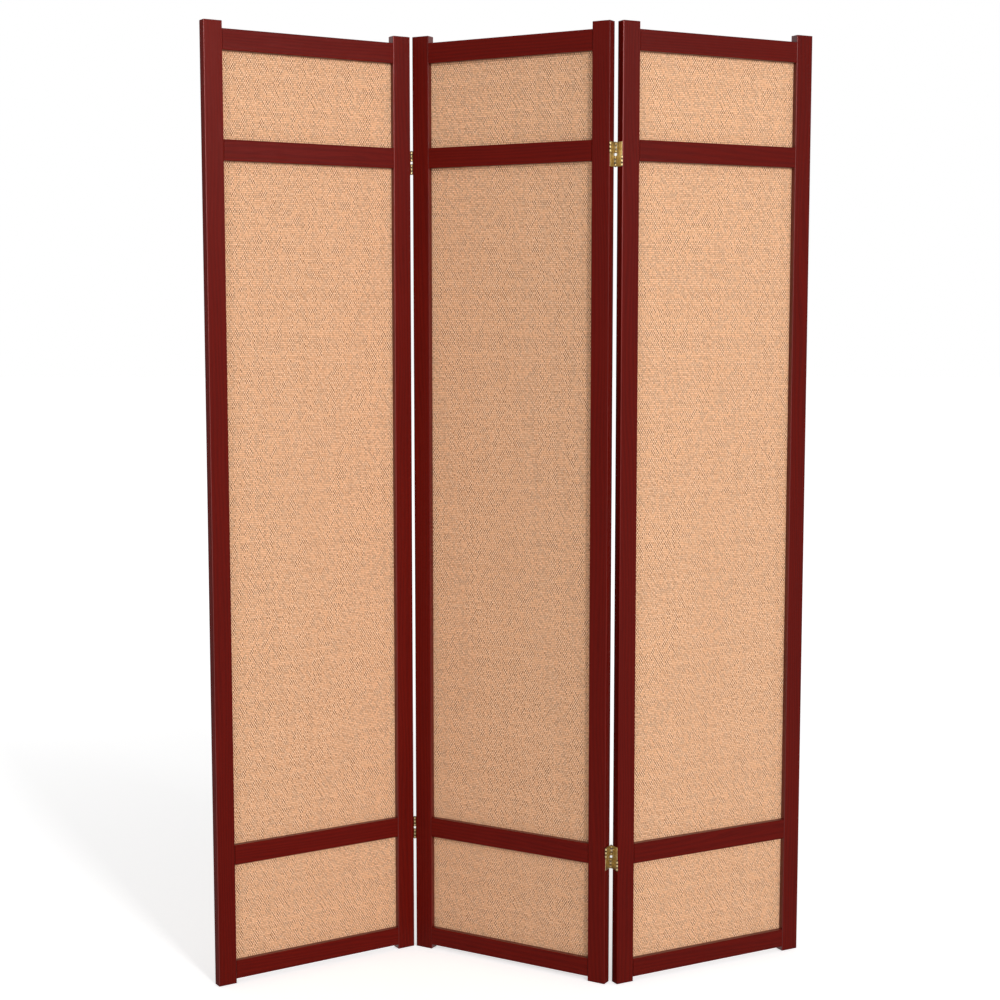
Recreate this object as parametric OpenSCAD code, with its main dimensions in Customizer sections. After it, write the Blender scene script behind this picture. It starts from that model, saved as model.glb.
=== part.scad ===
// Three-panel folding screen: red-brown lacquered wooden frames with woven jute
// fields, joined in a zigzag by crossed-flap brass hinges that fold both ways.
// The origin lies on the floor under the middle of the standing screen, +X runs
// along the screen to the right, +Y to its back and +Z up.

/* [Panel frame] */
// Height of the screen, from the floor to the tops of the stiles
screen_h = 1778; // [1500:1:2100]
// Width of one panel, over its two stiles
panel_w = 420; // [340:1:520]
// Thickness of the frames, front to back
panel_t = 19; // [18:0.5:24]
// Width of a stile, seen from the front
stile_w = 36.5; // [35:0.5:60]
// Radius on the long edges and the ends of the stiles
stile_edge_r = 2; // [1:0.25:3]

/* [Rails] */
// Width of the top, upper and lower rails, seen from the front
rail_w = 38; // [30:1:60]
// Width of the bottom rail, seen from the front
bottom_rail_w = 35; // [28:1:60]
// Radius on the front edges of the rails
rail_edge_r = 1.5; // [0.5:0.25:2.5]
// How far the stiles stand up above the top rail
horn_h = 13.5; // [6:0.5:40]
// How far the stiles reach down below the bottom rail
foot_h = 9; // [5:0.5:60]
// Height of the small field between the top rail and the upper rail
top_field_h = 157.5; // [80:0.5:300]
// Height of the small field between the lower rail and the bottom rail
bottom_field_h = 185; // [80:1:300]

/* [Joinery] */
// How far a rail's tenon reaches into the stile
tenon_l = 18; // [10:0.5:19]
// Thickness of a tenon
tenon_t = 7; // [5:0.5:9]
// Space between a tenon and the walls of its mortise
tenon_clearance = 0.1; // [0.05:0.05:0.3]
// Extra depth of a mortise beyond the end of its tenon
mortise_end = 0.5; // [0.2:0.1:1]

/* [Fields] */
// Thickness of the woven jute cloth
cloth_t = 0.8; // [0.5:0.1:1.5]
// Depth of the cloth behind the front faces of the frame
cloth_depth = 10; // [8:0.25:12]
// Width of the rebate that takes the cloth and its beads
rebate_w = 6; // [4:0.5:8]
// Space between the cut edge of the cloth and the wall of the rebate
cloth_edge_gap = 1; // [0.5:0.1:2]
// Space between a bead and the wall of the rebate
bead_clearance = 0.1; // [0.05:0.05:0.5]
// How far the beads stay below the back faces of the frame
bead_setback = 0.6; // [0.2:0.1:1.5]
// Radius on the inner back edge of the beads
bead_r = 2.5; // [1:0.25:2.5]
// Half the space left open at each mitre of the beads
mitre_gap = 0.1; // [0.05:0.05:0.5]

/* [Hinges] */
// Height of a hinge
hinge_h = 44; // [36:1:60]
// Distance from the tops of the stiles down to the middle of the upper hinges
upper_hinge_drop = 235.5; // [120:0.5:700]
// Height of the middle of the lower hinges above the floor
lower_hinge_z = 242.5; // [130:0.5:600]
// Space between the edges of two panels that stand in line
panel_gap = 3.4; // [3.2:0.1:6]
// How far a hinge's front axes stand in front of the frame's front faces
front_axis_proud = 0.5; // [0.4:0.1:2.5]
// How far a hinge's back axes stand behind the frame's back faces
back_axis_proud = 2; // [0.4:0.1:2.5]
// Thickness of the leaves and flaps
leaf_t = 0.8; // [0.6:0.05:1]
// Number of knuckles in one half of a hinge, the first and last on the leaf
knuckle_count = 3; // [3, 5]
// Space between two knuckles
knuckle_gap = 0.4; // [0.2:0.05:1.6]
// Space between the upper and lower halves of a hinge
half_gap = 5; // [0.5:0.1:8]
// Space between a leaf's plate and the barrels beside it
plate_clearance = 0.3; // [0.2:0.05:0.8]
// Least distance from a leaf's plate to the frame's front and back faces
plate_margin = 0.3; // [0.2:0.1:2]
// Space between a flap's plate and the leaf's barrels
flap_clearance = 0.3; // [0.2:0.05:1]
// Space round a pin in its knuckles
pin_clearance = 0.05; // [0.02:0.01:0.1]
// How far a pin's riveted head reaches out past the bore
pin_head_rim = 0.4; // [0.2:0.05:0.6]
// Height of a pin's riveted head
pin_head_h = 0.6; // [0.3:0.1:1]

/* [Hinge screws] */
// Number of screws in one leaf
screw_count = 4; // [3:1:4]
// Distance between neighbouring screws, measured up the leaf
screw_pitch = 10; // [6:0.5:10]
// Sideways distance between the two columns of screws
screw_stagger = 8; // [4:0.5:10]
// Radius of a screw's countersunk head
screw_head_r = 2.2; // [1.8:0.1:2.6]
// Radius of a screw's shank
screw_r = 1.1; // [0.8:0.05:1.3]
// Length of a screw under the face of the leaf
screw_l = 14; // [8:0.5:14]
// Length of a screw's point
screw_tip_l = 2; // [1:0.5:4]
// Space between a screw and the walls of its hole
screw_clearance = 0.05; // [0.02:0.01:0.1]
// Width of the slot in a screw's head
slot_w = 0.5; // [0.3:0.05:0.8]
// Depth of the slot in a screw's head
slot_depth = 0.5; // [0.3:0.05:0.8]

/* [Standing angles] */
// Angle by which the middle panel turns away from the line of the screen
middle_turn = 30; // [0:0.5:45]
// Angle of the left fold, zero with the two panels in line
left_fold = 62; // [20:0.5:120]
// Angle of the right fold, zero with the two panels in line
right_fold = 58; // [20:0.5:120]

/* [Hidden] */
$fn = 48;
// Overlap of a cutting shape past the face that it cuts
cut = 1;

// Heights of the rails' lower edges
bottom_rail_z = foot_h;
lower_rail_z = bottom_rail_z + bottom_rail_w + bottom_field_h;
top_rail_z = screen_h - horn_h - rail_w;
upper_rail_z = top_rail_z - top_field_h - rail_w;
// Each rail's lower edge, width, and whether it has a field below and above
RAILS = [
    [bottom_rail_z, bottom_rail_w, false, true],
    [lower_rail_z, rail_w, true, true],
    [upper_rail_z, rail_w, true, true],
    [top_rail_z, rail_w, true, false],
];
// Each field's lower and upper edge, from the bottom to the top
FIELDS = [for (i = [0:2]) [RAILS[i][0] + RAILS[i][1], RAILS[i + 1][0]]];
field_w = panel_w - 2 * stile_w;
tenon_y = (panel_t - tenon_t) / 2;
rebate_depth = panel_t - cloth_depth;
cloth_hold = rebate_w - cloth_edge_gap;
bead_w = rebate_w - bead_clearance;
bead_y = cloth_depth + cloth_t;
bead_depth = panel_t - bead_y - bead_setback;

// A leaf is rolled round its pins, so its barrels are as wide as the panel gap
barrel_r = panel_gap / 2;
bore_r = barrel_r - leaf_t;
pin_r = bore_r - pin_clearance;
axis_x = panel_gap / 2;
front_axis_y = -front_axis_proud;
back_axis_y = panel_t + back_axis_proud;
stack_h = (hinge_h - half_gap) / 2;
knuckle_h = (stack_h - (knuckle_count - 1) * knuckle_gap) / knuckle_count;
// A leaf's plate ends where it clears a barrel that turns past its inner face
plate_reach = sqrt(pow(barrel_r + plate_clearance, 2) - pow(barrel_r - leaf_t, 2));
plate_front_y = max(plate_margin, front_axis_y + plate_reach);
plate_back_y = min(panel_t - plate_margin, back_axis_y - plate_reach);
flap_front_y = front_axis_y + barrel_r + flap_clearance;
flap_back_y = back_axis_y - barrel_r - flap_clearance;
screw_cone_l = screw_head_r - screw_r;
upper_hinge_z = screen_h - upper_hinge_drop;
HINGE_Z = [lower_hinge_z, upper_hinge_z];

// Plan positions are first given in the middle panel's own frame, with its
// front left corner at the origin. The left panel turns about the left fold's
// front axis and the right panel about the right fold's back axis.
left_axis = [-panel_gap / 2, front_axis_y];
right_axis = [panel_w + panel_gap / 2, back_axis_y];
panel_step = [panel_w + panel_gap, 0];
function turned(p, a) = [p.x * cos(a) - p.y * sin(a), p.x * sin(a) + p.y * cos(a)];
function beside(side, p) =
    side == "left" ? left_axis + turned(p - panel_step - left_axis, left_fold)
    : side == "right" ? right_axis + turned(p + panel_step - right_axis, right_fold)
    : p;
function in_plan(side, p) = turned(beside(side, p), -middle_turn);

// The screen's plan outline is made of the stiles' round corners and the
// barrels, each a point and its radius, and its middle is the origin
CORNERS = [
    for (side = ["left", "middle", "right"])
        for (x = [stile_edge_r, panel_w - stile_edge_r])
            for (y = [stile_edge_r, panel_t - stile_edge_r])
                [in_plan(side, [x, y]), stile_edge_r]
];
BARRELS = [
    for (leaf = [["left", 1], ["middle", -1], ["middle", 1], ["right", -1]])
        for (y = [front_axis_y, back_axis_y])
            [in_plan(leaf[0], [leaf[1] < 0 ? -axis_x : panel_w + axis_x, y]), barrel_r]
];
OUTLINE = concat(CORNERS, BARRELS);
plan_low = [min([for (c = OUTLINE) c[0].x - c[1]]), min([for (c = OUTLINE) c[0].y - c[1]])];
plan_high = [max([for (c = OUTLINE) c[0].x + c[1]]), max([for (c = OUTLINE) c[0].y + c[1]])];
plan_middle = (plan_low + plan_high) / 2;

WOOD = "#5e1a18";
BEAD_WOOD = "#521614";
CLOTH = "#dcae82";
BRASS = "#b08d46";
SCREW_BRASS = "#c9a75c";

// Puts a shape drawn in one panel's own frame in its place in the screen
module on_panel(side) {
    translate([-plan_middle.x, -plan_middle.y, 0])
        rotate(-middle_turn)
            if (side == "left")
                translate(left_axis) rotate(left_fold) translate(-left_axis - panel_step) children();
            else if (side == "right")
                translate(right_axis) rotate(right_fold) translate(panel_step - right_axis) children();
            else
                children();
}

// A rectangle from the origin with four round corners
module round_rectangle(a, b, r) {
    translate([r, 0]) square([a - 2 * r, b]);
    translate([0, r]) square([a, b - 2 * r]);
    for (x = [r, a - r])
        for (y = [r, b - r])
            translate([x, y]) circle(r);
}

// A bar that stands upright, with all its edges rounded
module round_bar(w, t, h, r) {
    intersection() {
        linear_extrude(h) round_rectangle(w, t, r);
        translate([0, t, 0]) rotate([90, 0, 0]) linear_extrude(t) round_rectangle(w, h, r);
        rotate([90, 0, 90]) linear_extrude(w) round_rectangle(t, h, r);
    }
}

// One stile, drawn as the left one of a panel: its outer edge lies on x = 0.
// It has mortises for four rails, three stopped rebates, and screw holes where
// a hinge is fixed.
module stile(side, at, hinged) {
    color(WOOD) on_panel(side) panel_side(at) difference() {
        round_bar(stile_w, panel_t, screen_h, stile_edge_r);
        for (rail = RAILS) mortise(rail);
        for (field = FIELDS)
            translate([stile_w - rebate_w, cloth_depth, field[0] - rebate_w])
                cube([rebate_w + cut, rebate_depth + cut, field[1] - field[0] + 2 * rebate_w]);
        if (hinged)
            for (z = HINGE_Z) translate([0, 0, z]) mirror([1, 0, 0]) screw_holes();
    }
}

// Turns a shape drawn for the left edge of a panel over to its right edge
module panel_side(at) {
    if (at == "right")
        translate([panel_w, 0, 0]) mirror([1, 0, 0]) children();
    else
        children();
}

// Height and width of a rail's tenon, which stops short of the rebates
function tenon_z(rail) = [rail[0] + rebate_w, rail[1] - 2 * rebate_w];

module mortise(rail) {
    z = tenon_z(rail);
    c = tenon_clearance;
    translate([stile_w - tenon_l - mortise_end, tenon_y - c, z[0] - c])
        cube([tenon_l + mortise_end + cut, tenon_t + 2 * c, z[1] + 2 * c]);
}

// One rail between the stiles, with a tenon at each end and a rebate along
// each edge that has a field beside it
module rail(side, i) {
    rail = RAILS[i];
    z = tenon_z(rail);
    color(WOOD) on_panel(side) {
        translate([stile_w, 0, rail[0]]) difference() {
            rotate([90, 0, 90]) linear_extrude(field_w) round_rectangle(panel_t, rail[1], rail_edge_r);
            if (rail[2])
                translate([-cut, cloth_depth, -cut])
                    cube([field_w + 2 * cut, rebate_depth + cut, rebate_w + cut]);
            if (rail[3])
                translate([-cut, cloth_depth, rail[1] - rebate_w])
                    cube([field_w + 2 * cut, rebate_depth + cut, rebate_w + cut]);
        }
        for (x = [stile_w - tenon_l, panel_w - stile_w - cut])
            translate([x, tenon_y, z[0]]) cube([tenon_l + cut, tenon_t, z[1]]);
    }
}

// The cloth of one field, stretched against the shoulder of the rebate
module cloth(side, i) {
    field = FIELDS[i];
    color(CLOTH) on_panel(side)
        translate([stile_w - cloth_hold, cloth_depth, field[0] - cloth_hold])
            cube([field_w + 2 * cloth_hold, cloth_t, field[1] - field[0] + 2 * cloth_hold]);
}

// One bead: its outer long edge lies on the x axis, its ends are mitred and
// its inner back edge is round
module bead(l) {
    intersection() {
        rotate([90, 0, 90]) linear_extrude(l) {
            square([bead_depth - bead_r, bead_w]);
            square([bead_depth, bead_w - bead_r]);
            translate([bead_depth - bead_r, bead_w - bead_r]) circle(bead_r);
        }
        translate([0, bead_depth, 0]) rotate([90, 0, 0]) linear_extrude(bead_depth)
            polygon([
                [mitre_gap, 0], [l - mitre_gap, 0],
                [l - mitre_gap - bead_w, bead_w], [mitre_gap + bead_w, bead_w],
            ]);
    }
}

// The four beads that hold one field's cloth in its rebate
module beads(side, i) {
    field = FIELDS[i];
    w = field_w + 2 * bead_w;
    h = field[1] - field[0] + 2 * bead_w;
    color(BEAD_WOOD) on_panel(side) translate([stile_w - bead_w, bead_y, field[0] - bead_w]) {
        bead(w);
        translate([0, 0, h]) mirror([0, 0, 1]) bead(w);
        mirror([1, 0, -1]) bead(h);
        translate([w, 0, 0]) mirror([1, 0, 0]) mirror([1, 0, -1]) bead(h);
    }
}

// Places a hinge part that is drawn on the edge of a panel: the edge is the
// plane x = 0 and the middle of the hinge is at z = 0
module on_edge(side, at, z) {
    on_panel(side) translate([at == "left" ? 0 : panel_w, 0, z])
        if (at == "left") mirror([1, 0, 0]) children();
        else children();
}

// Height of the lower end of a knuckle, counted from the middle of the hinge
function knuckle_z(k) = half_gap / 2 + k * (knuckle_h + knuckle_gap);

// Turns a shape drawn in the hinge's upper half into its lower half
module in_half(half) {
    if (half < 0) mirror([0, 0, 1]) children();
    else children();
}

// Half of a hinge, +1 for the upper and -1 for the lower, in which a leaf is
// pinned at its front edge. At its back edge it is pinned in the other half.
// The leaf on a panel's right edge is the left one of its hinge.
function front_half(at) = at == "right" ? 1 : -1;

// The two rows of pins of one leaf, each as its half and its axis
function pin_rows(at) = [[front_half(at), front_axis_y], [-front_half(at), back_axis_y]];

// One leaf: a plate screwed to the panel's edge, with rolled knuckles at its
// front edge in one half and at its back edge in the other
module leaf(side, at, z) {
    color(BRASS) on_edge(side, at, z) difference() {
        union() {
            translate([0, plate_front_y, -hinge_h / 2])
                cube([leaf_t, plate_back_y - plate_front_y, hinge_h]);
            for (row = pin_rows(at))
                in_half(row[0])
                    for (k = [0:2:knuckle_count - 1])
                        translate([0, 0, knuckle_z(k)]) leaf_knuckle(row[1]);
        }
        for (row = pin_rows(at)) in_half(row[0]) pin_bore(row[1]);
        screw_holes();
    }
}

module leaf_knuckle(axis_y) {
    root_y = axis_y < 0 ? axis_y : plate_back_y - cut;
    root_l = axis_y < 0 ? plate_front_y + cut - axis_y : axis_y - root_y;
    translate([axis_x, axis_y, 0]) cylinder(r = barrel_r, h = knuckle_h);
    translate([0, root_y, 0]) cube([leaf_t, root_l, knuckle_h]);
}

module pin_bore(axis_y) {
    translate([axis_x, axis_y, half_gap / 2 - cut / 8])
        cylinder(r = bore_r, h = stack_h + cut);
}

// One flap: a plate in the middle of the gap, pinned to the left leaf at one
// edge and to the right leaf at the other
module flap(side, at, z, half) {
    color(BRASS) on_edge(side, at, z) in_half(half) difference() {
        union() {
            translate([axis_x - leaf_t / 2, flap_front_y, half_gap / 2])
                cube([leaf_t, flap_back_y - flap_front_y, stack_h]);
            for (k = [1:2:knuckle_count - 2]) {
                translate([axis_x - leaf_t / 2, front_axis_y, knuckle_z(k)])
                    cube([leaf_t, back_axis_y - front_axis_y, knuckle_h]);
                for (y = [front_axis_y, back_axis_y])
                    translate([axis_x, y, knuckle_z(k)]) cylinder(r = barrel_r, h = knuckle_h);
            }
        }
        for (y = [front_axis_y, back_axis_y]) pin_bore(y);
    }
}

// The two pins of one leaf, each with a riveted head at its outer end
module leaf_pins(side, at, z) {
    on_edge(side, at, z)
        for (row = pin_rows(at))
            in_half(row[0]) translate([axis_x, row[1], half_gap / 2]) {
                cylinder(r = pin_r, h = stack_h);
                translate([0, 0, stack_h]) cylinder(r = bore_r + pin_head_rim, h = pin_head_h);
            }
}

module hinge_pins(side, edges) {
    color(BRASS)
        for (at = edges)
            for (z = HINGE_Z) leaf_pins(side, at, z);
}

// Place of each screw on a leaf, in two columns that take turns
SCREW_SPOTS = [
    for (i = [0:screw_count - 1])
        [panel_t / 2 + (i % 2 == 0 ? -1 : 1) * screw_stagger / 2, (i - (screw_count - 1) / 2) * screw_pitch]
];

// Lays a shape that is drawn up the z axis along a screw, its tip at -x
module at_screws() {
    for (spot = SCREW_SPOTS)
        translate([leaf_t, spot.x, spot.y]) rotate([0, 90, 0]) children();
}

// A screw's body of revolution, grown by c on every side but the top
module screw_body(c) {
    translate([0, 0, -screw_cone_l]) cylinder(r1 = screw_r + c, r2 = screw_head_r + c, h = screw_cone_l);
    translate([0, 0, -screw_l + screw_tip_l - c])
        cylinder(r = screw_r + c, h = screw_l - screw_tip_l - screw_cone_l + c);
}

module screw_holes() {
    at_screws() {
        screw_body(screw_clearance);
        translate([0, 0, -screw_l - screw_clearance])
            cylinder(r = screw_r + screw_clearance, h = screw_tip_l + screw_clearance);
        cylinder(r = screw_head_r + screw_clearance, h = cut);
    }
}

module screws() {
    at_screws() difference() {
        union() {
            screw_body(0);
            translate([0, 0, -screw_l]) cylinder(r1 = 0, r2 = screw_r, h = screw_tip_l);
        }
        translate([-screw_head_r - cut, -slot_w / 2, -slot_depth])
            cube([2 * (screw_head_r + cut), slot_w, slot_depth + cut]);
    }
}

module hinge_screws(side, edges) {
    color(SCREW_BRASS)
        for (at = edges)
            for (z = HINGE_Z) on_edge(side, at, z) screws();
}

stile("left", "left", false);  // left_outer_stile
stile("left", "right", true);  // left_inner_stile
rail("left", 0);  // left_bottom_rail
rail("left", 1);  // left_lower_rail
rail("left", 2);  // left_upper_rail
rail("left", 3);  // left_top_rail
cloth("left", 0);  // left_bottom_cloth
cloth("left", 1);  // left_main_cloth
cloth("left", 2);  // left_top_cloth
beads("left", 0);  // left_bottom_beads
beads("left", 1);  // left_main_beads
beads("left", 2);  // left_top_beads
stile("middle", "left", true);  // middle_left_stile
stile("middle", "right", true);  // middle_right_stile
rail("middle", 0);  // middle_bottom_rail
rail("middle", 1);  // middle_lower_rail
rail("middle", 2);  // middle_upper_rail
rail("middle", 3);  // middle_top_rail
cloth("middle", 0);  // middle_bottom_cloth
cloth("middle", 1);  // middle_main_cloth
cloth("middle", 2);  // middle_top_cloth
beads("middle", 0);  // middle_bottom_beads
beads("middle", 1);  // middle_main_beads
beads("middle", 2);  // middle_top_beads
stile("right", "left", true);  // right_inner_stile
stile("right", "right", false);  // right_outer_stile
rail("right", 0);  // right_bottom_rail
rail("right", 1);  // right_lower_rail
rail("right", 2);  // right_upper_rail
rail("right", 3);  // right_top_rail
cloth("right", 0);  // right_bottom_cloth
cloth("right", 1);  // right_main_cloth
cloth("right", 2);  // right_top_cloth
beads("right", 0);  // right_bottom_beads
beads("right", 1);  // right_main_beads
beads("right", 2);  // right_top_beads
leaf("left", "right", lower_hinge_z);  // left_fold_lower_hinge_left_leaf
leaf("middle", "left", lower_hinge_z);  // left_fold_lower_hinge_right_leaf
flap("middle", "left", lower_hinge_z, 1);  // left_fold_lower_hinge_upper_flap
flap("left", "right", lower_hinge_z, -1);  // left_fold_lower_hinge_lower_flap
leaf("left", "right", upper_hinge_z);  // left_fold_upper_hinge_left_leaf
leaf("middle", "left", upper_hinge_z);  // left_fold_upper_hinge_right_leaf
flap("middle", "left", upper_hinge_z, 1);  // left_fold_upper_hinge_upper_flap
flap("left", "right", upper_hinge_z, -1);  // left_fold_upper_hinge_lower_flap
leaf("middle", "right", lower_hinge_z);  // right_fold_lower_hinge_left_leaf
leaf("right", "left", lower_hinge_z);  // right_fold_lower_hinge_right_leaf
flap("middle", "right", lower_hinge_z, 1);  // right_fold_lower_hinge_upper_flap
flap("right", "left", lower_hinge_z, -1);  // right_fold_lower_hinge_lower_flap
leaf("middle", "right", upper_hinge_z);  // right_fold_upper_hinge_left_leaf
leaf("right", "left", upper_hinge_z);  // right_fold_upper_hinge_right_leaf
flap("middle", "right", upper_hinge_z, 1);  // right_fold_upper_hinge_upper_flap
flap("right", "left", upper_hinge_z, -1);  // right_fold_upper_hinge_lower_flap
hinge_pins("left", ["right"]);  // left_hinge_pins
hinge_pins("middle", ["left", "right"]);  // middle_hinge_pins
hinge_pins("right", ["left"]);  // right_hinge_pins
hinge_screws("left", ["right"]);  // left_hinge_screws
hinge_screws("middle", ["left", "right"]);  // middle_hinge_screws
hinge_screws("right", ["left"]);  // right_hinge_screws
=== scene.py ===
# %% [markdown]
# # A folding screen with woven jute fields
# The screen has three wooden panels. Each is a ladder of two stiles and four rails, and the
# three openings of each hold a taut cloth of woven jute. Crossed-flap brass hinges join the
# panels. The frames, beads and hinges arrive as finished solids, so this lesson gives them
# their finishes, weaves the nine cloths, and sets the light and the camera.

import math
import random

import bmesh
import bpy
from mathutils import Matrix, Vector


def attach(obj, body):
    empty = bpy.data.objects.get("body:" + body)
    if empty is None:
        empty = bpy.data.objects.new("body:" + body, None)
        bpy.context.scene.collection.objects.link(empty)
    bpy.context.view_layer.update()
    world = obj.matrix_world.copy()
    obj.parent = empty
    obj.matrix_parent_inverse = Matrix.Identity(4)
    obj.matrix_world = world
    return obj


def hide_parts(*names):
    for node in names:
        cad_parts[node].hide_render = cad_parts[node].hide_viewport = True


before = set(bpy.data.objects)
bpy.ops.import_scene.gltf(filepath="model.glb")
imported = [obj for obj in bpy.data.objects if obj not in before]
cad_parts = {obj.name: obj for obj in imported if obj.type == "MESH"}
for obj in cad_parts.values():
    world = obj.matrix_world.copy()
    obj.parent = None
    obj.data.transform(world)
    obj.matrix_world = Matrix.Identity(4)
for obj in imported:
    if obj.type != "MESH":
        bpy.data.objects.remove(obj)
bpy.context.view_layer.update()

# %% [markdown]
# The panels stand in a zigzag, so nothing on them lies along the room's X or Y. Every
# pattern here, such as grain and weave, has to run along its own panel. A panel's turn from
# the X axis is all that is needed: seen in axes that are turned with it, each piece of
# it is a plain upright box, whose lowest and highest corners can be read off its mesh.

# %% The panels' turns
MM = 0.001
PANEL_TURN = {
    "left": math.radians(32),
    "middle": math.radians(-30),
    "right": math.radians(28),
}
FIELD_NAMES = ["bottom", "main", "top"]


def panel_box(node, side):
    """A node's lowest and highest corners, in axes turned with its panel."""
    back = Matrix.Rotation(-PANEL_TURN[side], 3, "Z")
    corners = [back @ v.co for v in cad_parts[node].data.vertices]
    low = Vector([min(c[i] for c in corners) for i in range(3)])
    high = Vector([max(c[i] for c in corners) for i in range(3)])
    return low, high


for side in PANEL_TURN:
    low, high = panel_box(f"{side}_main_cloth", side)
    print(side, "main cloth:", [round(c / MM, 1) for c in high - low], "mm")

# %% [markdown]
# The camera comes first, because every later choice is judged through it. It stands at
# chest height, 3.4 m in front of the screen, and looks down by six degrees. That tilt is why
# the stiles lean together slightly towards the floor. The lens is a mild telephoto one: a
# wider one, from nearer by, would spread the panels too much.

# %% Camera
CAMERA_PLACE = (-0.0270, -3.4168, 1.2667)
CAMERA_TILT = math.radians(6.023)
SENSOR_WIDTH = 36.0
LENS = 65.42
camera_data = bpy.data.cameras.new("camera")
camera_data.sensor_width = SENSOR_WIDTH
camera_data.lens = LENS
camera = bpy.data.objects.new("camera", camera_data)
camera.location = CAMERA_PLACE
camera.rotation_euler = (math.radians(90) - CAMERA_TILT, 0.0, 0.0)
bpy.context.scene.collection.objects.link(camera)
bpy.context.scene.camera = camera
print("camera height:", CAMERA_PLACE[2], "m, lens:", LENS, "mm")

# %% [markdown]
# A finish is a small graph of nodes. It could be wired up by hand in the shader editor, but
# a few helpers keep each recipe short and easy to change: they start a finish, add a node and
# fill or link its inputs, do arithmetic on a value, and blend two colours. Numbers that are
# the same all over a surface are set on the shader's own socket.


# %% Helpers for finishes
def start_finish(name):
    """A new finish, its node tree and its shader."""
    finish = bpy.data.materials.new(name)
    finish.use_nodes = True
    return finish, finish.node_tree, finish.node_tree.nodes["Principled BSDF"]


def add(tree, kind, inputs=None, **settings):
    """A new node; an input is given a value, or another node's output to link to."""
    made = tree.nodes.new(kind)
    for key, value in settings.items():
        setattr(made, key, value)
    for key, value in (inputs or {}).items():
        if isinstance(value, bpy.types.NodeSocket):
            tree.links.new(value, made.inputs[key])
        else:
            made.inputs[key].default_value = value
    return made


def calc(tree, operation, a, b=0.0, c=0.0):
    """The result of one Math node."""
    return add(tree, "ShaderNodeMath", {0: a, 1: b, 2: c}, operation=operation).outputs[0]


def blend_colours(tree, share, a, b):
    """Colour a where share is 0, and colour b where it is 1. Sockets 6 and 7 take colours."""
    return add(tree, "ShaderNodeMix", {0: share, 6: a, 7: b}, data_type="RGBA").outputs[2]


def steps(tree, value, low, high):
    """0 below low and 1 above high, with a smooth rise between them."""
    limits = {"Value": value, "From Min": low, "From Max": high}
    return add(tree, "ShaderNodeMapRange", limits, interpolation_type="SMOOTHSTEP").outputs[0]


def noise(tree, place, scale, detail=2.0, roughness=0.5):
    """A soft random value around a half."""
    inputs = {"Vector": place, "Scale": scale, "Detail": detail, "Roughness": roughness}
    return add(tree, "ShaderNodeTexNoise", inputs).outputs[0]


def emboss(tree, shader, height, strength, depth):
    """Makes the light see a height as relief of this strength and depth."""
    bump = add(tree, "ShaderNodeBump", {"Height": height, "Strength": strength, "Distance": depth})
    tree.links.new(bump.outputs[0], shader.inputs["Normal"])


print("a finish can be started, filled, calculated, blended and embossed")

# %% [markdown]
# The frames are of a light, straight-grained wood, stained red-brown and sprayed with a
# satin lacquer. Stain soaks into the soft early wood and the open pores, so the growth
# rings show as faint darker bands along the length, and the pores as short fine
# dashes. A picture of wood would repeat on every stile, so the grain is calculated, with a
# seed of its own for each piece. The bands are a wave over the piece's width that a slow
# noise pushes sideways, as on a plank sawn a little off the grain. The pores are a noise
# stretched along the piece: up the stiles, and across the rails.

# %% Grain
RING_WIDTH = 7.5 * MM
RING_PUSH = 60 * MM
RING_SLANT = 0.012
RING_TILT = 0.5
RING_EDGE = (-0.8, 1.0)
PORE_EDGE = (0.42, 0.62)
DRIFT_SIZE = (70 * MM, 770 * MM)
PORE_SIZE = (0.5 * MM, 45 * MM)
CLOUD_SIZE = (33 * MM, 200 * MM)
RING_SHARE = 0.34
PORE_SHARE = 0.42
CLOUD_SHARE = 0.50


def panel_axes(tree, vector, side):
    """A vector's parts along the panel, through it and up it."""
    inputs = {"Vector": vector, "Angle": -PANEL_TURN[side]}
    turned = add(tree, "ShaderNodeVectorRotate", inputs, rotation_type="Z_AXIS").outputs[0]
    return add(tree, "ShaderNodeSeparateXYZ", {0: turned}).outputs


def stretched(tree, across, depth, along, size, seed):
    """A place for a noise whose grains have this width and length."""
    width, length = size
    places = {
        0: calc(tree, "MULTIPLY", across, 1 / width),
        1: calc(tree, "MULTIPLY", depth, 1 / width),
        2: calc(tree, "MULTIPLY_ADD", along, 1 / length, seed),
    }
    return add(tree, "ShaderNodeCombineXYZ", places).outputs[0]


def grain(tree, across, depth, along, seed):
    """The darkening by rings, pores and clouds, and the pores alone."""
    drift = noise(tree, stretched(tree, across, depth, along, DRIFT_SIZE, seed), 1.0, 2.0, 0.55)
    pushed = calc(tree, "MULTIPLY_ADD", drift, RING_PUSH, across)
    slanted = calc(tree, "MULTIPLY_ADD", along, RING_SLANT, pushed)
    tilted = calc(tree, "MULTIPLY_ADD", depth, RING_TILT, slanted)
    ring = calc(tree, "SINE", calc(tree, "MULTIPLY", tilted, 2 * math.pi / RING_WIDTH))
    band = steps(tree, ring, *RING_EDGE)
    pore = noise(tree, stretched(tree, slanted, depth, along, PORE_SIZE, seed), 1.0, 3.0, 0.6)
    streak = steps(tree, pore, *PORE_EDGE)
    cloud = noise(tree, stretched(tree, across, depth, along, CLOUD_SIZE, seed), 1.0)
    tone = calc(tree, "MULTIPLY_ADD", band, RING_SHARE, calc(tree, "MULTIPLY", streak, PORE_SHARE))
    tone = calc(tree, "MULTIPLY_ADD", calc(tree, "SUBTRACT", cloud, 0.5), CLOUD_SHARE, tone)
    return tone, streak


low, high = panel_box("left_outer_stile", "left")
print("rings across a stile:", round((high.x - low.x) / RING_WIDTH, 1))

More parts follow.
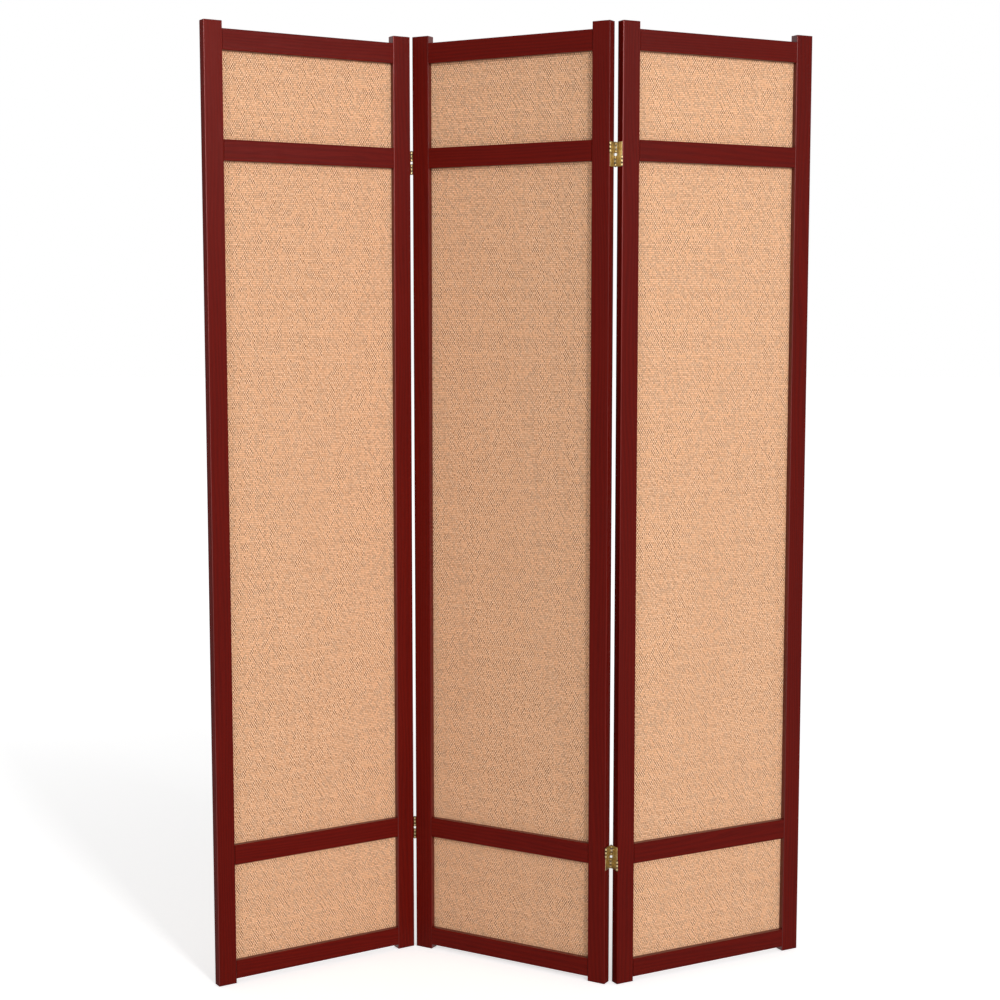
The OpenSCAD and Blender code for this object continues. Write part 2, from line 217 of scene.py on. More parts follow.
# %% [markdown]
# Satin lacquer mirrors little when one looks straight at it. It shines most on the rounded
# arrises, which hands rub smooth, and on the inner faces round the cloth, where no sanding
# block reaches to flat the gloss. The outer edges are sanded duller. Each could be a
# finish of its own, laid on chosen faces, but the surface's own direction tells them apart
# more simply: on an arris it lies between two faces, on an inner face it points at the
# field, and on an outer edge away from it. So one finish reads that direction in the
# panel's axes, and changes the mirroring there.

# %% Where the lacquer shines
FLAT_GLOSS = 0.065
INNER_GLOSS = 0.50
OUTER_GLOSS = 0.15 * FLAT_GLOSS
ARRIS_EDGE = (0.1, 0.6)
ARRIS_FRONT = (0.45, 0.75)
INNER_EDGE = (0.80, 0.98)
OUTER_EDGE = (0.85, 0.99)


def on_arris(tree, n_along, n_depth):
    """1 on the part of the upright arrises that turns to the front or the back, and 0 elsewhere."""
    corner = calc(tree, "MULTIPLY", n_along, n_depth)
    slant = calc(tree, "MULTIPLY", calc(tree, "MULTIPLY", corner, corner), 4.0)
    front = steps(tree, calc(tree, "ABSOLUTE", n_depth), *ARRIS_FRONT)
    return calc(tree, "MULTIPLY", steps(tree, slant, *ARRIS_EDGE), front)


def lacquer_gloss(tree, inward, n_along, n_up, arris, arris_gloss):
    """How strongly the lacquer mirrors, by the way that the surface faces."""
    facing = calc(tree, "ABSOLUTE", n_up) if inward == 0 else calc(tree, "MULTIPLY", n_along, inward)
    inner = steps(tree, facing, *INNER_EDGE)
    outer = steps(tree, calc(tree, "MULTIPLY", facing, -1.0), *OUTER_EDGE)
    gloss = calc(tree, "MULTIPLY_ADD", arris, calc(tree, "SUBTRACT", arris_gloss, FLAT_GLOSS), FLAT_GLOSS)
    gloss = calc(tree, "MULTIPLY_ADD", inner, INNER_GLOSS - FLAT_GLOSS, gloss)
    return calc(tree, "MULTIPLY_ADD", outer, OUTER_GLOSS - FLAT_GLOSS, gloss)


print("gloss on the faces, inside and outside:", FLAT_GLOSS, INNER_GLOSS, round(OUTER_GLOSS, 4))

# %% [markdown]
# Each panel has its own share of stain, and so has the left outer stile. The shares stand
# partly for boards that took stain unlike each other and partly for painted light and shade:
# the right panel is painted darker than the others, and the left outer stile darker at the
# foot. High up, a paler colour is painted on as a sheen on that stile's faces and as a
# highlight on the arrises, more on some stiles than others, and the arrises are glossier there
# than near the floor. Such edges could be found from the mesh, but they differ from stile to
# stile, so a table gives each one its four numbers, and the square of the height spreads them.

# %% The wood's stain, its painted light and shade, and the arrises' gloss
STAIN_LIGHT = (0.150, 0.0044, 0.0012, 1.0)
STAIN_DARK = (0.086, 0.0021, 0.0006, 1.0)
# A paler colour, painted on high up as sheen and highlight.
PAINTED_SHEEN_COLOUR = (0.300, 0.0120, 0.0040, 1.0)
# Each share of stain also paints light and shade: the right panel darker, the left outer stile darker at
# the foot.
STAIN_AND_SHADE_SHARE = {"left": 0.82, "middle": 0.81, "right": 0.735, "left_outer_stile": 0.745}
STILE_TOP = 1778 * MM
# Gloss of the arrises at the foot and at the top, then painted sheen at the top on them and on the faces.
GLOSS_AND_PAINTED_SHEEN = {
    "left_outer_stile": (0.40, 0.57, 0.62, 0.14),
    "left_inner_stile": (0.36, 0.60, 0.82, 0.0),
    "right_inner_stile": (0.05, 0.66, 0.78, 0.0),
    "right_outer_stile": (0.34, 0.36, 0.34, 0.0),
}
PLAIN_GLOSS_NO_SHEEN = (0.15, 0.15, 0.0, 0.0)


def stain_and_shade(side, node=""):
    """The lightest and the darkest tone of a panel's wood, or of one node's if it has its own, with
    painted shade in its share.
    """
    share = STAIN_AND_SHADE_SHARE.get(node, STAIN_AND_SHADE_SHARE[side])
    return [tuple(c * share for c in tone[:3]) + (1.0,) for tone in (STAIN_LIGHT, STAIN_DARK)]


def gloss_and_painted_sheen(tree, node, arris, up):
    """The gloss of a piece's arrises, and its share of painted sheen, by height."""
    foot_gloss, top_gloss, sheen_on_arrises, sheen_on_faces = GLOSS_AND_PAINTED_SHEEN.get(node, PLAIN_GLOSS_NO_SHEEN)
    part_up = calc(tree, "DIVIDE", up, STILE_TOP)
    height_squared = calc(tree, "MULTIPLY", part_up, part_up)
    arris_gloss = calc(tree, "MULTIPLY_ADD", height_squared, top_gloss - foot_gloss, foot_gloss)
    sheen_share = calc(tree, "MULTIPLY_ADD", arris, sheen_on_arrises - sheen_on_faces, sheen_on_faces)
    return arris_gloss, calc(tree, "MULTIPLY", sheen_share, height_squared)


print("worn stiles:", ", ".join(GLOSS_AND_PAINTED_SHEEN))

# %% [markdown]
# Now the parts come together in one finish. The pores lie a little below the surface and
# are duller than the lacquer between them, and sprayed lacquer dries with a fine
# unevenness like an orange's peel. Both are far too small to model, so a bump node
# shows them to the light. Every stile and rail gets its own copy with its own seed. The
# flat faces' gloss is set on the shader's own socket as well as linked, because an
# exported model keeps the socket's value and drops the link.

# %% The wood finish
WOOD_ROUGHNESS = 0.30
PORE_ROUGHNESS = 0.08
PORE_DEPTH = 0.6
PEEL_SCALE = 260.0
PEEL_HEIGHT = 0.5
WOOD_RELIEF = (0.35, 0.12 * MM)
SEED_STEP = 3.1


def lacquered_wood(node, side, inward, seed):
    """Stained and lacquered wood. A stile's field lies at inward, +1 or -1, and a rail's at 0."""
    finish, tree, shader = start_finish(f"lacquered_{node}")
    coordinates = add(tree, "ShaderNodeTexCoord").outputs
    x, y, z = panel_axes(tree, coordinates["Object"], side)
    across, along = (z, x) if inward == 0 else (x, z)
    tone, streak = grain(tree, across, y, along, seed)
    n_along, n_depth, n_up = panel_axes(tree, coordinates["Normal"], side)
    arris = on_arris(tree, n_along, n_depth)
    arris_gloss, painted_sheen = gloss_and_painted_sheen(tree, node, arris, z)
    stained_and_shaded = blend_colours(tree, tone, *stain_and_shade(side, node))
    # Blends in the paler colour high up: painted sheen on the faces and painted highlight on the arrises.
    tree.links.new(blend_colours(tree, painted_sheen, stained_and_shaded, PAINTED_SHEEN_COLOUR), shader.inputs["Base Color"])
    shader.inputs["Specular IOR Level"].default_value = FLAT_GLOSS
    gloss = lacquer_gloss(tree, inward, n_along, n_up, arris, arris_gloss)
    tree.links.new(gloss, shader.inputs["Specular IOR Level"])
    rough = calc(tree, "MULTIPLY_ADD", streak, PORE_ROUGHNESS, WOOD_ROUGHNESS)
    tree.links.new(rough, shader.inputs["Roughness"])
    peel = calc(tree, "MULTIPLY", noise(tree, coordinates["Object"], PEEL_SCALE, 1.0), PEEL_HEIGHT)
    emboss(tree, shader, calc(tree, "MULTIPLY_ADD", streak, -PORE_DEPTH, peel), *WOOD_RELIEF)
    return finish


def dress(node, finish):
    """Gives a carried-over solid its finish."""
    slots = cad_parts[node].data.materials
    slots.clear()
    slots.append(finish)


wood_pieces = [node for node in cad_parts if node.endswith(("_stile", "_rail"))]
for number, node in enumerate(wood_pieces):
    side = node.split("_")[0]
    inward = 0
    if node.endswith("_stile"):
        stile_low, _ = panel_box(node, side)
        field_low, _ = panel_box(f"{side}_main_cloth", side)
        inward = 1 if stile_low.x < field_low.x else -1
    dress(node, lacquered_wood(node, side, inward, SEED_STEP * number))
print("dressed", len(wood_pieces), "stiles and rails")

# %% [markdown]
# The beads are thin strips of the same wood. On each field two stand upright and two lie
# along the panel, all in one node, so one finish has to serve both directions. At
# this width no rings show, only pores, so a finer and shorter grain that looks the same
# both ways is enough.

# %% The beads' finish
BEAD_ROUGHNESS = 0.34
FLECK_SCALE = 1400.0
FLECK_EDGE = (0.45, 0.65)
FLECK_SHARE = 0.4
BEAD_CLOUD_SCALE = 25.0
BEAD_CLOUD_SHARE = 0.7
BEAD_RELIEF = (0.3, 0.1 * MM)


def bead_finish(side, seed):
    """Stained beading, with short pores only."""
    finish, tree, shader = start_finish(f"stained_{side}_beads")
    place = add(tree, "ShaderNodeTexCoord").outputs["Object"]
    fleck = noise(tree, place, FLECK_SCALE, 3.0, 0.6)
    cloud = calc(tree, "MULTIPLY", noise(tree, place, BEAD_CLOUD_SCALE + seed), BEAD_CLOUD_SHARE)
    tone = calc(tree, "MULTIPLY_ADD", steps(tree, fleck, *FLECK_EDGE), FLECK_SHARE, cloud)
    tree.links.new(blend_colours(tree, tone, *stain_and_shade(side)), shader.inputs["Base Color"])
    shader.inputs["Specular IOR Level"].default_value = FLAT_GLOSS
    shader.inputs["Roughness"].default_value = BEAD_ROUGHNESS
    emboss(tree, shader, fleck, *BEAD_RELIEF)
    return finish


for number, side in enumerate(PANEL_TURN):
    finish = bead_finish(side, float(number))
    for field in FIELD_NAMES:
        dress(f"{side}_{field}_beads", finish)
print("dressed the beads of", len(PANEL_TURN) * len(FIELD_NAMES), "fields")

# %% [markdown]
# The hinges are of sheet brass: leaves on the stiles' edges, two crossed flaps between
# them, rolled knuckles and riveted pins. Brass is a bare metal here, so its
# look comes from what it mirrors, broken up by fine rolling scratches and by a thin brown
# tarnish that gathers in patches. The screws are turned and a shade brighter. The pins are
# oiled, dusty steel, and their near-black colour is also painted shade for the dark gaps
# between the knuckles where they show. One recipe serves all three, with other colours.

# %% The metal finishes
SCREW_BRASS = {
    "tones": ((0.72, 0.60, 0.37, 1.0), (0.52, 0.41, 0.23, 1.0)),
    "scratch_scale": 3200.0,
    "smooth": 0.22,
    "rough": 0.36,
}
# Near-black steel: oiled pins, and painted shade in the gaps between the knuckles.
PIN_STEEL_AND_SHADE = {
    "tones": ((0.075, 0.060, 0.048, 1.0), (0.040, 0.030, 0.022, 1.0)),
    "scratch_scale": 3200.0,
    "smooth": 0.40,
    "rough": 0.60,
}
SCRATCH_STRETCH = (1.0, 1.0, 0.06)
SCRATCH_ROUGHNESS = 0.1
SCRATCH_RELIEF = (0.25, 0.05 * MM)
TARNISH_SCALE = 160.0
TARNISH_EDGE = (0.42, 0.66)


def bare_metal(name, tones, scratch_scale, smooth, rough):
    """Bare metal with tarnish clouds and fine upright scratches."""
    finish, tree, shader = start_finish(name)
    place = add(tree, "ShaderNodeTexCoord").outputs["Object"]
    tarnish = steps(tree, noise(tree, place, TARNISH_SCALE, 3.0, 0.6), *TARNISH_EDGE)
    upright = add(tree, "ShaderNodeMapping", {"Vector": place, "Scale": SCRATCH_STRETCH}).outputs[0]
    scratch = noise(tree, upright, scratch_scale, 2.0, 0.6)
    colour = blend_colours(tree, tarnish, *tones)
    clouded = calc(tree, "MULTIPLY_ADD", tarnish, rough - smooth, smooth)
    roughness = calc(tree, "MULTIPLY_ADD", scratch, SCRATCH_ROUGHNESS, clouded)
    tree.links.new(colour, shader.inputs["Base Color"])
    tree.links.new(roughness, shader.inputs["Roughness"])
    shader.inputs["Metallic"].default_value = 1.0
    emboss(tree, shader, scratch, *SCRATCH_RELIEF)
    return finish, colour, roughness


screw_finish = bare_metal("screw_brass", **SCREW_BRASS)[0]
pin_and_shade_finish = bare_metal("pin_steel_and_shade", **PIN_STEEL_AND_SHADE)[0]
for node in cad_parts:
    if node.endswith("_screws"):
        dress(node, screw_finish)
    if node.endswith("_pins"):
        dress(node, pin_and_shade_finish)
print("dressed the pins and screws")

# %% [markdown]
# Oil and dust gather where one knuckle turns against the next, and the dark ring round each
# end stands partly for that grime and partly for painted shade in the gap, so that from afar
# the knuckles look like a row of bright dots. The rings could be painted on, but they have to
# meet the gaps exactly, so they are counted from the hinges' middles, which are read from the
# solids. A knuckle stands in front of the panel's face or behind its back, so a place's depth
# in the panel's axes tells knuckles from plates. Its height above or below the middle of its
# hinge tells how near the next knuckle is.

# %% Dark rings of grime and painted shade between the knuckles
# Colour of the rings: grime and painted shade between the knuckles.
GRIME_AND_SHADE_COLOUR = (0.070, 0.038, 0.020, 1.0)
GRIME_AND_SHADE_EDGE = (0.10, 0.34)
KNUCKLE_STEP = 6.633 * MM
FIRST_KNUCKLE = 2.5 * MM
KNUCKLE_GAP = 0.4 * MM
BEFORE_PLATES = 1.0 * MM
BEHIND_PLATES = 0.2 * MM
PLATE_EDGE = (0.0, 0.25 * MM)
hinge_middles = []
for height in ("lower", "upper"):
    low, high = panel_box(f"left_fold_{height}_hinge_left_leaf", "left")
    hinge_middles.append((low.z + high.z) / 2)
between_hinges = sum(hinge_middles) / 2
hinge_offset = (hinge_middles[1] - hinge_middles[0]) / 2


def knuckle_grime_and_shade(tree, side):
    """1 in the rings between knuckles, and 0 on plates and on each knuckle's middle."""
    front, back = panel_box(f"{side}_top_rail", side)
    place = add(tree, "ShaderNodeTexCoord").outputs["Object"]
    _, depth, up = panel_axes(tree, place, side)
    before = steps(tree, calc(tree, "SUBTRACT", front.y + BEFORE_PLATES, depth), *PLATE_EDGE)
    behind = steps(tree, calc(tree, "SUBTRACT", depth, back.y - BEHIND_PLATES), *PLATE_EDGE)
    from_middle = calc(tree, "ABSOLUTE", calc(tree, "SUBTRACT", up, between_hinges))
    from_hinge = calc(tree, "ABSOLUTE", calc(tree, "SUBTRACT", from_middle, hinge_offset))
    start = FIRST_KNUCKLE - KNUCKLE_GAP / 2
    turns = calc(tree, "DIVIDE", calc(tree, "SUBTRACT", from_hinge, start), KNUCKLE_STEP)
    part = calc(tree, "FRACT", turns)
    nearest = calc(tree, "MINIMUM", part, calc(tree, "SUBTRACT", 1.0, part))
    ring = calc(tree, "SUBTRACT", 1.0, steps(tree, nearest, *GRIME_AND_SHADE_EDGE))
    return calc(tree, "MULTIPLY", ring, calc(tree, "MAXIMUM", before, behind))


print("hinges at", [round(z / MM, 1) for z in hinge_middles], "mm")

# %% [markdown]
# A leaf or flap is drawn in the axes of the panel that it is fixed to or folds with, and the
# rings are measured in those axes, so the sheet brass needs one finish for each panel. The dark
# colour of grime and painted shade covers the metal's own there, the surface is rougher, and
# both are blended in where a ring lies.

# %% The sheet brass
SHEET_BRASS = {
    "tones": ((0.59, 0.465, 0.24, 1.0), (0.39, 0.295, 0.135, 1.0)),
    "scratch_scale": 2600.0,
    "smooth": 0.24,
    "rough": 0.40,
}
GRIME_ROUGHNESS = 0.3


def hinge_side(node):
    """The panel in whose axes a leaf or flap is drawn."""
    fold = node.split("_")[0]
    on_middle = "right_leaf" if fold == "left" else "left_leaf"
    return "middle" if node.endswith(("_upper_flap", on_middle)) else fold


sheet_finish = {}
for side in PANEL_TURN:
    finish, colour, roughness = bare_metal(f"sheet_brass_{side}", **SHEET_BRASS)
    tree = finish.node_tree
    shader = tree.nodes["Principled BSDF"]
    grime_and_shade = knuckle_grime_and_shade(tree, side)
    dirty_roughness = calc(tree, "MULTIPLY_ADD", grime_and_shade, GRIME_ROUGHNESS, roughness)
    # The rings darken the brass with grime and painted shade.
    tree.links.new(blend_colours(tree, grime_and_shade, colour, GRIME_AND_SHADE_COLOUR), shader.inputs["Base Color"])
    tree.links.new(dirty_roughness, shader.inputs["Roughness"])
    sheet_finish[side] = finish
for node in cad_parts:
    if node.endswith(("_leaf", "_flap")):
        dress(node, sheet_finish[hinge_side(node)])
print("dressed the leaves and flaps")

# %% [markdown]
# The cloth is jute in a plain weave, with fine warp yarns going up and thicker weft yarns
# going across. In a plain weave each crossing is a small hump where the warp lies on top, and
# a small dip where the weft does, like a chess board. Every yarn could be a tube of its own,
# but nine such cloths would be far too heavy. A grid with one vertex at each crossing
# carries that relief in the mesh itself, and it is right on both sides, because a
# hump at the front is a dip at the back. Real yarns are never even, so each one gets its own
# height and its own small sideways drift, and wanders slowly from side to side on its way.

# %% The yarns' paths
DRIFT = 0.22 * MM
WANDER = 0.26 * MM
CROSSINGS_A_BEND = 7


def yarn_heights(count, seed, size):
    """One random share of extra height for each yarn."""
    source = random.Random(seed)
    return [source.uniform(-size, size) for _ in range(count + 1)]


def yarn_paths(yarns, crossings, seed):
    """Each yarn's sideways offset at each of its crossings: its own drift and its wandering."""
    source = random.Random(seed)
    paths = []
    for _ in range(yarns + 1):
        drift = source.uniform(-DRIFT, DRIFT)
        offsets = []
        bend = source.uniform(-WANDER, WANDER)
        for place in range(crossings + 1):
            if place % CROSSINGS_A_BEND == 0:
                last, bend = bend, source.uniform(-WANDER, WANDER)
            share = (place % CROSSINGS_A_BEND) / CROSSINGS_A_BEND
            offsets.append(drift + last + (bend - last) * share * share * (3 - 2 * share))
        paths.append(offsets)
    return paths


print("a yarn strays by at most", round((DRIFT + WANDER) / MM, 2), "mm")

# %% [markdown]
# Each cloth lies where its solid lies, so its size and its place are read from that solid's
# box. The beads grip its edges, so the crossings next to them are held flat and straight. The
# UV map counts yarns: it passes a whole number from one yarn to the next, so the
# finish can find every single yarn again.

# %% How a cloth is woven
WARP_PITCH = 2.2 * MM
WEFT_PITCH = 3.5 * MM
RELIEF = 0.22 * MM
UNEVEN_RELIEF = 0.35
SLACK = 0.25 * MM
SAG_ACROSS = 0.071
SAG_UP = 0.043
HELD_CROSSINGS = 3


def weave_cloth(side, field, seed):
    """A taut woven sheet in the place of its solid, with a UV map counted in yarns."""
    low, high = panel_box(f"{side}_{field}_cloth", side)
    width, height = high.x - low.x, high.z - low.z
    warps = round(width / WARP_PITCH)
    wefts = round(height / WEFT_PITCH)
    sheet = bmesh.new()
    bmesh.ops.create_grid(sheet, x_segments=warps, y_segments=wefts, size=0.5)
    warp_paths = yarn_paths(warps, wefts, seed)
    weft_paths = yarn_paths(wefts, warps, seed + 1)
    warp_heights = yarn_heights(warps, seed + 2, UNEVEN_RELIEF)
    weft_heights = yarn_heights(wefts, seed + 3, UNEVEN_RELIEF)
    middle_y = (low.y + high.y) / 2
    yarns = sheet.loops.layers.uv.new("yarns")
    counts = {}
    for vertex in sheet.verts:
        i = round((vertex.co.x + 0.5) * warps)
        j = round((vertex.co.y + 0.5) * wefts)
        counts[vertex] = (i + 0.5, j + 0.5)
        over = 1 if (i + j) % 2 == 0 else -1
        rise = over * RELIEF * (1 + (warp_heights[i] if over > 0 else weft_heights[j]))
        sag = SLACK * math.sin(i * SAG_ACROSS + seed) * math.sin(j * SAG_UP + 2 * seed)
        held = min(1.0, min(i, j, warps - i, wefts - j) / HELD_CROSSINGS)
        vertex.co = (
            low.x + width * i / warps + warp_paths[i][j] * held,
            middle_y - (rise + sag) * held,
            low.z + height * j / wefts + weft_paths[j][i] * held,
        )
    for face in sheet.faces:
        face.smooth = True
        for loop in face.loops:
            loop[yarns].uv = counts[loop.vert]
    bmesh.ops.recalc_face_normals(sheet, faces=sheet.faces)
    turn = Matrix.Rotation(PANEL_TURN[side], 3, "Z")
    bmesh.ops.rotate(sheet, verts=sheet.verts, cent=(0, 0, 0), matrix=turn)
    mesh = bpy.data.meshes.new(f"{side}_{field}_jute")
    sheet.to_mesh(mesh)
    sheet.free()
    piece = bpy.data.objects.new(f"{side}_{field}_jute", mesh)
    bpy.context.scene.collection.objects.link(piece)
    return piece, width, height


print("yarns to the metre:", round(1 / WARP_PITCH), "up and", round(1 / WEFT_PITCH), "across")

# %% [markdown]
# Jute runs from straw to tan. Each yarn has a tone of its own, and a fine stretched noise
# along it stands for its fibres. Hand-spun yarn is thick and thin, so each crossing has its
# own tone too. A thick place squeezes the ones beside it, so a crossing differs most
# from its neighbours. One random number for each crossing wouldn't show that, so the mean of
# two neighbours' numbers is taken from it.

# %% The yarns' tones
OWN_SHARE = 0.18
FIBRE_SHARE = 0.5


def yarn_tone(tree, number, uv, fibre_scale):
    """A yarn's own tone, with fibres along it."""
    own = add(tree, "ShaderNodeTexWhiteNoise", {"W": number}, noise_dimensions="1D").outputs[0]
    fibre_place = add(tree, "ShaderNodeMapping", {"Vector": uv, "Scale": fibre_scale}).outputs[0]
    fibre = noise(tree, fibre_place, 1.0, 3.0, 0.65)
    return calc(tree, "MULTIPLY_ADD", own, OWN_SHARE, calc(tree, "MULTIPLY", fibre, FIBRE_SHARE)), fibre


def thickness(tree, warp, weft):
    """A random thickness of the yarns at one crossing, from 0 to 1."""
    cell = add(tree, "ShaderNodeCombineXYZ", {0: warp, 1: weft}).outputs[0]
    return add(tree, "ShaderNodeTexWhiteNoise", {"Vector": cell}, noise_dimensions="2D").outputs[0]


def thicker_than_neighbours(tree, warp, weft):
    """How much thicker a crossing is than the ones beside and above it."""
    beside = thickness(tree, calc(tree, "ADD", warp, 1.0), weft)
    above = thickness(tree, warp, calc(tree, "ADD", weft, 1.0))
    around = calc(tree, "MULTIPLY", calc(tree, "ADD", beside, above), 0.5)
    return calc(tree, "SUBTRACT", thickness(tree, warp, weft), around)


print("shares of a yarn's tone: its own", OWN_SHARE, "and its fibres", FIBRE_SHARE)

# %% [markdown]
# Within each crossing the upper yarn is a round ridge that goes up for a warp and across for
# a weft. That height drives the bump and darkens the gaps between yarns with painted shade,
# and the painted shade is deepest in the gaps between one row of wefts and the next. The warps
# are paler than the wefts, which gives the cloth its chess-board glitter from afar. A slower
# noise makes that glitter stronger in one place and weaker in another, as yarn of uneven
# thickness does.

# %% The jute finish
WARP_LIGHT = (0.982, 0.634, 0.409, 1.0)
WARP_DARK = (0.716, 0.400, 0.219, 1.0)
WEFT_LIGHT = (0.838, 0.464, 0.267, 1.0)
WEFT_DARK = (0.250, 0.110, 0.046, 1.0)
# Colour of the painted shade in the gaps between yarns.
GAP_SHADE_COLOUR = (0.16, 0.070, 0.030, 1.0)
WARP_FIBRES = (9.0, 1.3, 1.0)
WEFT_FIBRES = (0.9, 12.0, 1.0)
KNOT_SHARE = 0.72
CLOUD_SCALE, CLOUD_RANGE, CLOUD_LEAST = 0.06, 0.12, 0.10
SWING_SCALE, SWING_RANGE = 0.25, 2.0
GAP_EDGE, GAP_SHADE = (0.20, 0.62), 0.50
ROW_EDGE, ROW_SHADE = (0.1, 0.7), 0.22
BULGE_SHARE = 0.45
FIBRE_HEIGHT = 0.12
JUTE_RELIEF = (0.7, 0.4 * MM)


def blend_values(tree, share, a, b):
    """Value a where share is 0, and value b where it is 1. Sockets 2 and 3 take values."""
    return add(tree, "ShaderNodeMix", {0: share, 2: a, 3: b}).outputs[0]


def ridge(tree, value):
    """1 on the middle line of a yarn, falling to 0 at its sides."""
    offset = calc(tree, "SUBTRACT", calc(tree, "FRACT", value), 0.5)
    square = calc(tree, "MULTIPLY", calc(tree, "MULTIPLY", offset, offset), 4.0)
    return calc(tree, "SUBTRACT", 1.0, square)


def jute_colour(tree, warp, weft, uv, warp_tone, weft_tone, warp_on_top):
    """The colour of the yarn on top, without the shade of the gaps."""
    knot = thicker_than_neighbours(tree, warp, weft)
    cloud = calc(tree, "MULTIPLY_ADD", noise(tree, uv, CLOUD_SCALE), CLOUD_RANGE, CLOUD_LEAST)
    uneven = calc(tree, "MULTIPLY_ADD", knot, KNOT_SHARE, cloud)
    swing = calc(tree, "MULTIPLY_ADD", noise(tree, uv, SWING_SCALE), SWING_RANGE, -SWING_RANGE / 2)
    warp_share = calc(tree, "ADD", warp_tone, calc(tree, "ADD", uneven, swing))
    weft_share = calc(tree, "ADD", weft_tone, calc(tree, "SUBTRACT", uneven, swing))
    warp_colour = blend_colours(tree, warp_share, WARP_LIGHT, WARP_DARK)
    weft_colour = blend_colours(tree, weft_share, WEFT_LIGHT, WEFT_DARK)
    return blend_colours(tree, warp_on_top, weft_colour, warp_colour)


def jute_weave():
    """Plain-woven jute, patterned by the yarns' UV map."""
    finish, tree, shader = start_finish("woven_jute")
    uv = add(tree, "ShaderNodeUVMap", uv_map="yarns").outputs[0]
    across, up, _ = add(tree, "ShaderNodeSeparateXYZ", {0: uv}).outputs
    warp, weft = calc(tree, "FLOOR", across), calc(tree, "FLOOR", up)
    odd = calc(tree, "MODULO", calc(tree, "ADD", warp, weft), 2.0)
    warp_on_top = calc(tree, "SUBTRACT", 1.0, odd)
    warp_ridge, weft_ridge = ridge(tree, across), ridge(tree, up)
    rounding = blend_values(tree, warp_on_top, weft_ridge, warp_ridge)
    bulge = blend_values(tree, warp_on_top, warp_ridge, weft_ridge)
    rounded = calc(tree, "MULTIPLY", rounding, 1 - BULGE_SHARE)
    height = calc(tree, "MULTIPLY_ADD", bulge, BULGE_SHARE, rounded)
    warp_tone, warp_fibre = yarn_tone(tree, warp, uv, WARP_FIBRES)
    weft_tone, weft_fibre = yarn_tone(tree, calc(tree, "ADD", weft, 0.5), uv, WEFT_FIBRES)
    yarn = jute_colour(tree, warp, weft, uv, warp_tone, weft_tone, warp_on_top)
    gap = calc(tree, "SUBTRACT", 1.0, steps(tree, height, *GAP_EDGE))
    row = calc(tree, "SUBTRACT", 1.0, steps(tree, weft_ridge, *ROW_EDGE))
    # Painted shade in the gaps between yarns, deepest between rows of wefts.
    shade = calc(tree, "MULTIPLY_ADD", gap, GAP_SHADE, calc(tree, "MULTIPLY", row, ROW_SHADE))
    tree.links.new(blend_colours(tree, shade, yarn, GAP_SHADE_COLOUR), shader.inputs["Base Color"])
    shader.inputs["Roughness"].default_value = 0.9
    shader.inputs["Specular IOR Level"].default_value = 0.15
    shader.inputs["Sheen Weight"].default_value = 0.05
    fibre = blend_values(tree, warp_on_top, weft_fibre, warp_fibre)
    emboss(tree, shader, calc(tree, "MULTIPLY_ADD", fibre, FIBRE_HEIGHT, height), *JUTE_RELIEF)
    return finish


jute = jute_weave()
print("finish:", jute.name, "of", len(jute.node_tree.nodes), "nodes")

# %% [markdown]
# Nine cloths are woven, one for each opening. Each is a sheet that stands for its solid,
# rides on its panel and lies stretched on its beads, and each has seeds of its own, so no two
# show the same unevenness.

# %% Weave the cloths
FIRST_SEED = 11
SEEDS_A_CLOTH = 10
for index, side in enumerate(PANEL_TURN):
    for number, field in enumerate(FIELD_NAMES):
        order = len(FIELD_NAMES) * index + number
        cloth, width, height = weave_cloth(side, field, FIRST_SEED + SEEDS_A_CLOTH * order)
        cloth.data.materials.append(jute)
        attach(cloth, f"{side} panel")
        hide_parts(f"{side}_{field}_cloth")
        size = f"{width / MM:.1f} x {height / MM:.1f} mm,"
        print(cloth.name, size, len(cloth.data.polygons), "crossings")

# %% [markdown]
# The screen stands on a pale studio floor. To the camera the floor and the backdrop are
# white, and so they are in the brass and the lacquer, which mirror them. A floor that only
# glows would take no shadow. So it is a plain matt white that the lamps light, with a
# little glow added for the camera, just enough to reach white where no shadow falls. The
# glow grows away from the screen, where the lamps light the floor less.

# %% Floor
FLOOR_SIZE = 60.0
FLOOR_DARK = (0.80, 0.80, 0.80, 1.0)
FLOOR_LIGHT = (0.82, 0.82, 0.82, 1.0)
GRIT_SCALE = 40.0
WHITE = (1.0, 1.0, 1.0, 1.0)
NEAR_GLOW = 0.52
FAR_GLOW = 0.70
GLOW_RISE = (0.8, 4.0)
floor_shape = bmesh.new()
bmesh.ops.create_grid(floor_shape, x_segments=1, y_segments=1, size=FLOOR_SIZE / 2)
floor_mesh = bpy.data.meshes.new("studio_floor")
floor_shape.to_mesh(floor_mesh)
floor_shape.free()
floor = bpy.data.objects.new("studio_floor", floor_mesh)
bpy.context.scene.collection.objects.link(floor)


def seen_directly(tree):
    """1 for camera, glossy and transmitted rays, and 0 for the light on matt things."""
    path = add(tree, "ShaderNodeLightPath")
    shiny = calc(tree, "MAXIMUM", path.outputs["Is Glossy Ray"], path.outputs["Is Transmission Ray"])
    return calc(tree, "MAXIMUM", path.outputs["Is Camera Ray"], shiny)


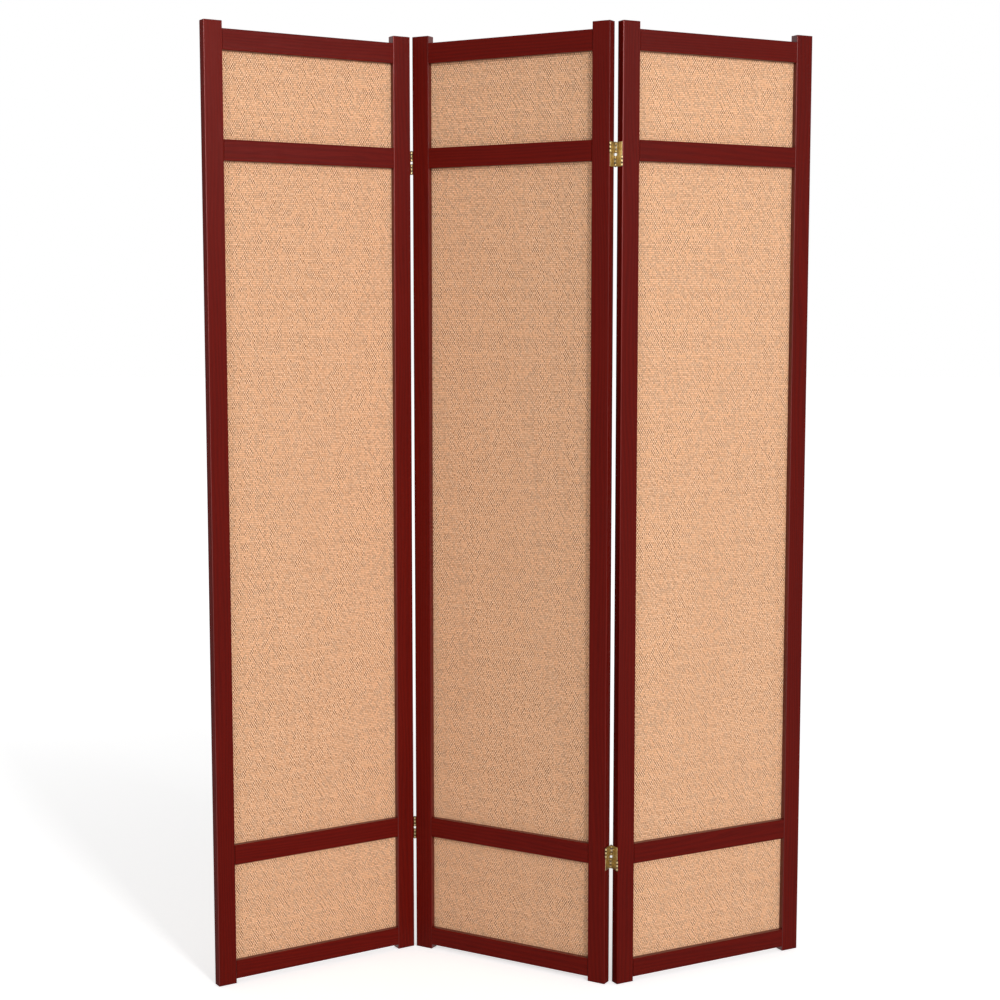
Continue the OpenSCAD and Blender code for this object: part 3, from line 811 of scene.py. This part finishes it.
floor_finish, tree, shader = start_finish("studio_floor")
place = add(tree, "ShaderNodeTexCoord").outputs["Object"]
pale = blend_colours(tree, noise(tree, place, GRIT_SCALE), FLOOR_DARK, FLOOR_LIGHT)
tree.links.new(pale, shader.inputs["Base Color"])
shader.inputs["Roughness"].default_value = 1.0
shader.inputs["Specular IOR Level"].default_value = 0.0
shader.inputs["Emission Color"].default_value = WHITE
distance = add(tree, "ShaderNodeVectorMath", {0: place}, operation="LENGTH").outputs["Value"]
far = steps(tree, distance, *GLOW_RISE)
glow = calc(tree, "MULTIPLY_ADD", far, FAR_GLOW - NEAR_GLOW, NEAR_GLOW)
tree.links.new(calc(tree, "MULTIPLY", seen_directly(tree), glow), shader.inputs["Emission Strength"])
floor.data.materials.append(floor_finish)
print("floor:", FLOOR_SIZE, "m square")

# %% [markdown]
# The light is plain and soft. A distant lamp stands in front, to the right, so the
# left and right panels, which face it, are a shade lighter than the middle one, and the
# frames throw a narrow soft shadow on the recessed cloth. A weaker one at the left fills the
# middle panel and draws thin bright lines down the arrises. A third, further to the
# right, lies in the mirror direction of the left panel's top, for the sheen on the lacquer
# there. The rest comes evenly from all round. That even light alone would be simpler,
# but it would show neither the bright lines nor the frames' shadows.

# %% Lamps and world
WORLD_LIGHT = 0.467
# Azimuth from the front to the right, elevation, distance, size, power, and the place aimed at.
LAMPS = {
    "key_lamp": (26, 18, 11.0, 1.2, 580.0, (0.0, 0.0, 1.0)),
    "fill_lamp": (-34, 12, 6.0, 0.9, 43.0, (0.0, 0.0, 1.0)),
    "sheen_lamp": (53, 8, 9.0, 1.0, 100.0, (-0.45, 0.0, 1.75)),
}


def add_lamp(name, azimuth, elevation, distance, size, power, aim):
    """A square lamp that faces the place it is aimed at."""
    turn, rise = math.radians(azimuth), math.radians(elevation)
    away = Vector((math.sin(turn) * math.cos(rise), -math.cos(turn) * math.cos(rise), math.sin(rise)))
    data = bpy.data.lights.new(name, "AREA")
    data.shape = "SQUARE"
    data.size = size
    data.energy = power
    lamp = bpy.data.objects.new(name, data)
    lamp.location = Vector(aim) + away * distance
    lamp.rotation_euler = away.to_track_quat("Z", "Y").to_euler()
    bpy.context.scene.collection.objects.link(lamp)


for name, settings in LAMPS.items():
    add_lamp(name, *settings)

world = bpy.data.worlds.new("studio")
bpy.context.scene.world = world
world.use_nodes = True
background = world.node_tree.nodes["Background"]
background.inputs["Color"].default_value = WHITE
strength = blend_values(world.node_tree, seen_directly(world.node_tree), WORLD_LIGHT, 1.0)
world.node_tree.links.new(strength, background.inputs["Strength"])
bpy.context.scene.view_settings.view_transform = "Standard"
print("lamps:", ", ".join(LAMPS))
